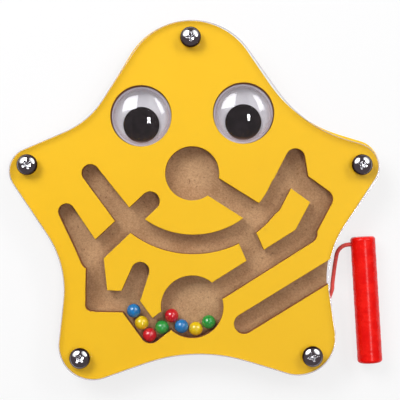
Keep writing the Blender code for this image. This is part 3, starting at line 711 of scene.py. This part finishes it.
def makeBalls():
    for index, (colour, tints) in enumerate(ball["tints"].items()):
        paint = glossFinish("ball " + colour, {**ball["coat"], **tints})
        for number in ("1", "2"):
            # a sphere whose radius swells and sinks by a hair's breadth, as a dipped coat does
            name = "ball_" + colour + "_" + number
            low, high, middle = span(name)
            radius = (high[2] - low[2]) / 2
            tilt = np.linspace(-np.pi / 2, np.pi / 2, ball["rings"])[:, None]
            angle = np.linspace(0, 2 * np.pi, ball["sides"], endpoint=False)[None]
            phase = index + 2.0 * int(number)
            wave = np.sin(3 * angle + phase) * np.cos(tilt) ** 3 * np.cos(2 * tilt + phase)
            size = radius - ball["dent"] * (0.5 + 0.5 * wave)
            flat = size * np.cos(tilt)
            points = np.stack([flat * np.cos(angle), flat * np.sin(angle), size * np.sin(tilt)], axis=-1)
            piece = ringPiece(name + "_made", points + middle, sharp=allSmooth)
            dress(piece, paint, "ball_" + colour, colour + "_" + number, name)
    print("balls: eight, in four colours")


# Pen

pen = {
    "centre": (0.0729730, -0.0426000, 0.0053), "tilt": 3.4, "radius": 5.3 * mm, "length": 53.5 * mm,
    "edge": 1.4 * mm, "edgeSteps": 12, "sides": 128, "rings": 150, "sharp": 40,
    "magnetRadius": 3.4 * mm, "magnetDepth": 3 * mm, "magnetSides": 96, "magnetChamfer": 0.35 * mm,
    "magnetDish": 0.05 * mm, "magnetBorder": 0.5 * mm, "recessGap": 0.3 * mm, "recessLip": 0.2 * mm,
    "holeFromTop": 3.0 * mm, "holeRun": 1.0 * mm, "holeRadius": 1.2 * mm, "holeDepth": 3.8 * mm,
    "holeLip": 0.35 * mm, "holeFlare": 0.5 * mm, "holeOverrun": 1.0 * mm, "holeSides": 48,
    "swell": 0.02 * mm, "sink": 0.05 * mm,
    "lacquer": {
        "tint": (250, 26, 16), "shadeTint": (238, 14, 10), "roughness": 0.24, "cloudScale": 240,
        "ior": 1.5, "mirror": 0.24,
    },
    # short and long waves: length along the barrel, how far they wander round it, and their height
    "shortWave": 0.38 * mm, "shortWander": 1.5, "wanderLength": 2.3 * mm,
    "longWave": 0.95 * mm, "longWander": 2.4, "longHeight": 1.6,
}


def penAxes():
    # the barrel's direction, towards its upper end, and the way in from its left flank
    lean = math.radians(pen["tilt"])
    along = np.array([-math.sin(lean), math.cos(lean), 0])
    inward = np.array([math.cos(lean), math.sin(lean), 0])
    return along, inward


def penHoleAt(depth):
    along, inward = penAxes()
    top = boardShift + np.array(pen["centre"]) + along * (pen["length"] / 2 - pen["holeFromTop"])
    return top + inward * (depth - pen["radius"])


def carve(piece, cutter):
    # takes the cutter out of the piece for good, then drops the cutter
    modifier = piece.modifiers.new("hole", "BOOLEAN")
    modifier.operation = "DIFFERENCE"
    modifier.solver = "EXACT"
    modifier.object = cutter
    evaluated = piece.evaluated_get(bpy.context.evaluated_depsgraph_get())
    carved = bpy.data.meshes.new_from_object(evaluated)
    piece.modifiers.clear()
    piece.data = carved
    bpy.data.objects.remove(cutter, do_unlink=True)


def makePen():
    along, inward = penAxes()
    radius, half, edge = pen["radius"], pen["length"] / 2, pen["edge"]
    recess, floor = pen["magnetRadius"] + pen["recessGap"], -half + pen["magnetDepth"] + seatGap
    lip, steps = pen["recessLip"], pen["edgeSteps"]
    start = [(0, floor), (recess, floor), (recess, -half + lip), (recess + lip, -half)]
    lower = arcProfile((radius - edge, -half + edge), edge, -90, 0, steps)
    barrel = [(radius, z) for z in np.linspace(-half + edge, half - edge, pen["rings"])[1:-1]]
    upper = arcProfile((radius - edge, half - edge), edge, 0, 90, steps)
    profile = np.array([*start, *lower, *barrel, *upper, (0, half)])
    points = turnedPoints(profile, (0, 0, 0), pen["sides"], along, inward)
    # lacquer: the wall swells and sinks in slow waves along and round the barrel
    distance = profile[:, 1][:, None]
    angle = np.linspace(0, 2 * np.pi, pen["sides"], endpoint=False)[None]
    wander = pen["shortWander"] * np.sin(2 * angle + distance / pen["wanderLength"])
    wave = np.sin(distance / pen["shortWave"] + wander)
    wander = pen["longWander"] * np.cos(2 * angle)
    wave = wave + pen["longHeight"] * np.sin(distance / pen["longWave"] + wander)
    onWall = ((np.abs(profile[:, 0] - radius) < tiny) & (np.abs(profile[:, 1]) < half - edge))[:, None]
    swell = pen["swell"] * wave * onWall - pen["sink"] * onWall
    outward = points - (points @ along)[..., None] * along
    outward = outward / np.maximum(lengthsOf(outward), tiny)[..., None]
    centre = boardShift + np.array(pen["centre"])
    points = points + outward * swell[..., None] + centre
    body = ringPiece("pen_body_made", points, sharp=pen["sharp"])
    bore, lip, outside = pen["holeRadius"], pen["holeLip"], radius + pen["holeOverrun"]
    hole = [(0, radius - pen["holeDepth"]), (bore, radius - pen["holeDepth"]), (bore, radius - lip),
            (bore + lip, radius), (bore + pen["holeFlare"], outside), (0, outside)]
    cutter = ringPiece("pen_hole", turnedPoints(hole, penHoleAt(radius), pen["holeSides"], -inward, along))
    carve(body, cutter)
    dress(body, glossFinish("pen lacquer", pen["lacquer"]), "pen_lacquer", "pen", "pen_body")

    size, chamfer, dish = pen["magnetRadius"], pen["magnetChamfer"], -half + pen["magnetDish"]
    back = -half + pen["magnetDepth"]
    disc = [(0, dish), (size - chamfer - pen["magnetBorder"], dish), (size - chamfer, -half),
            (size, -half + chamfer), (size, back - chamfer), (size - chamfer, back), (0, back)]
    magnet = ringPiece("pen_magnet_made", turnedPoints(disc, centre, pen["magnetSides"], along, inward))
    dress(magnet, metalFinish("magnet steel", magnetSteel), "magnet_steel", "pen", "pen_magnet")
    print("pen: barrel and magnet")


# Cord

cord = {
    "diameter": 1.8 * mm, "length": 0.172, "rest": 0.95 * mm, "sides": 30, "spacing": 0.15 * mm,
    "relief": 0.07 * mm, "strands": 5, "pitch": 3.0 * mm,
    # the darker tint is painted shade for the dips between strands
    "tint": (255, 66, 58), "shadeTint": (232, 30, 30), "lintTint": (255, 160, 150), "lintShare": 0.45,
    "fuzz": (5200, 2, 0.6), "fuzzRelief": 0.03 * mm, "fuzzReliefShare": 0.6,
    "roughness": 0.75, "sheen": 0.3, "levelEnough": 0.1, "bendPoints": 6, "pointsPerTurn": 24,
    "anchor": (0.0346698, -0.0579221), "anchorTop": 5.6 * mm, "bend": 3.6 * mm, "heading": 36,
    "coilCentre": (0.0313326, -0.0533334), "coilRadius": 7.1 * mm, "coilPitch": 2.26 * mm,
    "coilTurns": 1.85, "coilStart": 15, "coilLean": 20, "bendsFrom": (0.0601, -0.0414, 0.0),
}
# three rolls of cord wind aslant round the knot, and finer strands run along each roll
knotShape = {
    "rings": 49, "sides": 72, "rolls": 1.5, "slant": 2.2, "rollDepth": 0.16,
    "strands": (15, 16), "strandDepth": 0.02,
}
cordRoute = boardShift + np.array([
    (0.04550, -0.05450, 0.00095),
    (0.05100, -0.05000, 0.00095),
    (0.05540, -0.04660, 0.00095),
    (0.05866, -0.03953, 0.00095),
    (0.05910, -0.03595, 0.00095),
    (0.05954, -0.03238, 0.00095),
    (0.05981, -0.03020, 0.00096),
    (0.06007, -0.02801, 0.00136),
    (0.06034, -0.02583, 0.00216),
    (0.06061, -0.02365, 0.00315),
    (0.06097, -0.02231, 0.00379),
    (0.06168, -0.02112, 0.00437),
    (0.06269, -0.02017, 0.00485),
    (0.06392, -0.01954, 0.00518),
])


def unit(vector):
    return vector / np.linalg.norm(vector)


def flatDirection(degrees):
    angle = np.radians(degrees)
    return np.stack([np.cos(angle), np.sin(angle), np.zeros_like(angle)], axis=-1)


def cordPoints():
    # down through the base, a quarter bend, the coil, then the free stretch into the pen
    anchor = boardShift + np.array([*cord["anchor"], 0])
    up = np.array([0, 0, 1.0])
    bend = np.linspace(0, np.pi / 2, cord["bendPoints"])[:, None]
    lead = anchor + flatDirection(cord["heading"]) * cord["bend"] * (1 - np.cos(bend))
    lead = lead + up * (cord["rest"] + cord["bend"] * (1 - np.sin(bend)))
    lead = np.concatenate([[anchor + up * cord["anchorTop"]], lead])
    count = math.ceil(cord["coilTurns"] * cord["pointsPerTurn"]) + 1
    turn = np.linspace(0, cord["coilTurns"], count)[:, None]
    centre = boardShift + np.array([*cord["coilCentre"], cord["rest"]])
    reach = cord["coilRadius"] + cord["coilPitch"] * turn
    coil = centre + flatDirection(cord["coilStart"] + 360 * turn[:, 0]) * reach
    back = coil[0] - coil[1]
    inner = math.degrees(math.atan2(back[1], back[0])) - cord["coilLean"]
    outward = unit(coil[-1] - coil[-2])
    size = cord["diameter"]
    first = coil[0] + flatDirection(inner) * size
    last = coil[-1] + outward * size
    # the free stretch starts a seat gap further on and runs straight for two diameters
    after = last + outward * (seatGap + 2 * size)
    ends = [penHoleAt(-pen["holeRun"]), penHoleAt(0), penHoleAt(pen["holeDepth"] - seatGap)]
    return np.concatenate([lead, [first], coil, [last, after], cordRoute, ends])


def smoothCurve(points, pieces=12):
    # each stretch is a cubic whose slope at a point is that between its two neighbours
    ends = np.concatenate([[2 * points[0] - points[1]], points, [2 * points[-1] - points[-2]]])
    a, b, c, d = (ends[i:len(ends) - 3 + i, None] for i in range(4))
    t = (np.arange(pieces) / pieces)[None, :, None]
    curve = b + ((c - a) * t + (2 * a - 5 * b + 4 * c - d) * t ** 2 + (3 * b - a - 3 * c + d) * t ** 3) / 2
    return np.concatenate([curve.reshape(-1, 3), points[-1:]])


def evenly(curve, spacing):
    # the same curve, with its points an even distance apart
    walked = np.concatenate([[0], np.cumsum(lengthsOf(np.diff(curve, axis=0)))])
    places = np.linspace(0, walked[-1], round(walked[-1] / spacing) + 1)
    return np.stack([np.interp(places, walked, curve[:, axis]) for axis in range(3)], axis=1), places


def tubeFrames(path):
    # a level side direction across the path, carried over where the path runs straight down
    along = np.gradient(path, axis=0)
    along = along / lengthsOf(along)[:, None]
    across = np.cross(along, (0, 0, 1.0))
    size = lengthsOf(across)
    sound = np.flatnonzero(size > cord["levelEnough"])
    steps = np.arange(len(path))
    level = across[sound] / size[sound, None]
    side = np.stack([np.interp(steps, sound, level[:, axis]) for axis in range(3)], axis=1)
    side = side / lengthsOf(side)[:, None]
    return side, np.cross(side, along)


def braidedTube(name, path, places, radius):
    # the radius dips between strands: two crossing sets of waves, one along each slant
    side, up = tubeFrames(path)
    angle = np.linspace(0, 2 * np.pi, cord["sides"], endpoint=False)[None]
    slant = 2 * np.pi * places[:, None] / cord["pitch"]
    raised = 0.5 + 0.5 * np.cos(cord["strands"] * angle + slant) * np.cos(cord["strands"] * angle - slant)
    size = radius - cord["relief"] * (1 - raised)
    size[[0, -1]] = 0
    points = path[:, None] + size[..., None] * (
        np.cos(angle)[..., None] * side[:, None] + np.sin(angle)[..., None] * up[:, None])
    # the same waves also set the painted shade between strands
    return ringPiece(name, points, {"raised": raised}, allSmooth)


def knotPiece(material):
    # a squat ball with the cord's turns showing as three slanted rolls
    low, high, middle = span("cord_knot_board")
    tilt = np.linspace(-np.pi / 2, np.pi / 2, knotShape["rings"])[:, None]
    angle = np.linspace(0, 2 * np.pi, knotShape["sides"], endpoint=False)[None]
    rolls = np.abs(np.sin(knotShape["rolls"] * angle + knotShape["slant"] * tilt))
    strands = 0.5 + 0.5 * np.cos(knotShape["strands"][0] * angle) * np.cos(knotShape["strands"][1] * tilt)
    dent = knotShape["rollDepth"] * (1 - rolls) + knotShape["strandDepth"] * (1 - strands)
    size = 1 - dent * np.cos(tilt)
    half = (high - low) / 2
    points = np.stack([half[0] * size * np.cos(tilt) * np.cos(angle),
                       half[1] * size * np.cos(tilt) * np.sin(angle),
                       half[2] * size * np.sin(tilt)], axis=-1) + middle
    # the grooves between rolls and strands take painted shade through the same numbers
    piece = ringPiece("cord_knot_made", points, {"raised": rolls * strands}, allSmooth)
    return dress(piece, material, "cord_red", "root", "cord_knot_board")


def makeCord():
    red = cordFinish()
    control = cordPoints()
    path, places = evenly(smoothCurve(control), cord["spacing"])
    piece = braidedTube("cord_made", path, places, cord["diameter"] / 2)
    dress(piece, red, "cord_red", None, "cord_lead", "cord_coil", "cord_free")
    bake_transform(piece)
    knot = knotPiece(red)
    print("cord: length", round(float(places[-1]), 4))


# Studio

studio = {
    "cameraPlace": (0.0023455, -0.0003317, 0.5046), "lens": 105.8, "sensor": 36.0, "clipStart": 0.01,
    "dark": (0.080, 0.062, 0.068), "glowLean": 52, "glowCone": (20, 27),
    "glows": {137: 1.2, 43: 1.0},  # light of the sky's two patches by azimuth
    "fill": 0.21,  # light of the dark sky where it falls on matt surfaces
    "horizon": (-0.01, 0.01), "cameraHorizon": 0.2,
    "floorRadius": 6.0, "floorRings": 25, "floorSides": 96, "floorTint": (0.86, 0.86, 0.87, 1),
    "floorGlow": 0.75,  # how far the floor is plain white where it is seen directly
    "lampPower": 4,  # watts a square metre for a lamp's light of 1
    # place over the board as shares of the height, height, size, turn and light
    "lamps": {
        "softbox left": ((-0.66, 0.82), 0.6, (0.46, 0.50), 0, 5.6),
        "softbox right": ((0.86, 0.74), 0.6, (0.22, 0.54), 18, 5.4),
        "window": ((0.246, -0.080), 4.0, (0.48, 0.90), 0, 18.6),
    },
}


def skyDirection(lean, azimuth):
    # lean is measured from straight up, azimuth from +X towards +Y
    lean, azimuth = math.radians(lean), math.radians(azimuth)
    return np.array([math.sin(lean) * math.cos(azimuth), math.sin(lean) * math.sin(azimuth), math.cos(lean)])


def areaLamp(name, share, height, size, turn, glow):
    # a lamp that faces straight down
    light = bpy.data.lights.new(name, "AREA")
    light.shape = "RECTANGLE"
    light.size, light.size_y = size
    light.energy = studio["lampPower"] * glow * size[0] * size[1]
    lamp = bpy.data.objects.new(name, light)
    bpy.context.scene.collection.objects.link(lamp)
    lamp.location = (share[0] * height, share[1] * height, height)
    lamp.rotation_euler = (0, 0, math.radians(turn))


def seenDirectly(sheet):
    # 1 for rays that show a thing itself or its mirror image, 0 for those that only light matt surfaces
    seen = sheet.node("LightPath", output="Is Camera Ray")
    for name in ("Is Glossy Ray", "Is Transmission Ray"):
        ray = sheet.node("LightPath", output=name)
        seen = sheet.node("Math", {"operation": "MAXIMUM"}, {0: seen, 1: ray})
    return seen


def makeWorld():
    world = bpy.data.worlds.new("studio")
    bpy.context.scene.world = world
    world.use_nodes = True
    sheet = NodeSheet(world.node_tree)
    direction = sheet.node("TexCoord", output="Generated")
    height = sheet.node("SeparateXYZ", None, {"Vector": direction}, "Z")
    height = height - sheet.node("LightPath", output="Is Camera Ray") * studio["cameraHorizon"]
    seen = seenDirectly(sheet)
    dark = sheet.blend(seen, (studio["fill"], studio["fill"], studio["fill"], 1), (*studio["dark"], 1))
    colour = sheet.blend(sheet.ramp(height, *studio["horizon"]), (1, 1, 1, 1), dark)
    for azimuth, glow in studio["glows"].items():
        towards = skyDirection(studio["glowLean"], azimuth)
        sockets = {0: direction, 1: towards.tolist()}
        near = sheet.node("VectorMath", {"operation": "DOT_PRODUCT"}, sockets, "Value")
        patch = sheet.ramp(near, *(math.cos(math.radians(angle)) for angle in studio["glowCone"][::-1]))
        colour = sheet.blend(patch, colour, (glow, glow, glow, 1))
    shade = sheet.node("Background", None, {"Color": colour, "Strength": 1.0})
    sheet.node("OutputWorld", None, {"Surface": shade})


def makeFloor():
    # a round white floor: rings of even spacing about the middle
    radius = np.linspace(0, studio["floorRadius"], studio["floorRings"])
    points = turnedPoints(np.stack([radius, 0 * radius], axis=1)[::-1], (0, 0, 0), studio["floorSides"])
    floor = ringPiece("floor", points)
    material, sheet = newFinish("floor")
    seen = seenDirectly(sheet)
    white = sheet.node("Emission", None, {"Color": (1, 1, 1, 1), "Strength": 1.0})
    matt = sheet.node("BsdfDiffuse", None, {"Color": studio["floorTint"]})
    mixed = sheet.node("MixShader", None, {0: seen * studio["floorGlow"], 1: matt, 2: white})
    sheet.node("OutputMaterial", None, {"Surface": mixed})
    floor.data.materials.append(material)


def makeStudio():
    scene = bpy.context.scene
    scene.view_settings.view_transform = "Standard"
    camera = bpy.data.objects.new("camera", bpy.data.cameras.new("camera"))
    scene.collection.objects.link(camera)
    camera.location = boardShift + np.array(studio["cameraPlace"])
    camera.data.lens, camera.data.sensor_width = studio["lens"], studio["sensor"]
    camera.data.clip_start = studio["clipStart"]
    scene.camera = camera
    makeWorld()
    makeFloor()
    for name, values in studio["lamps"].items():
        areaLamp(name, *values)
    print("studio: camera, floor and lamps")


makeStudio()
makeCord()
makePlates()
makeFasteners()
makeEyes()
makeBalls()
makePen()
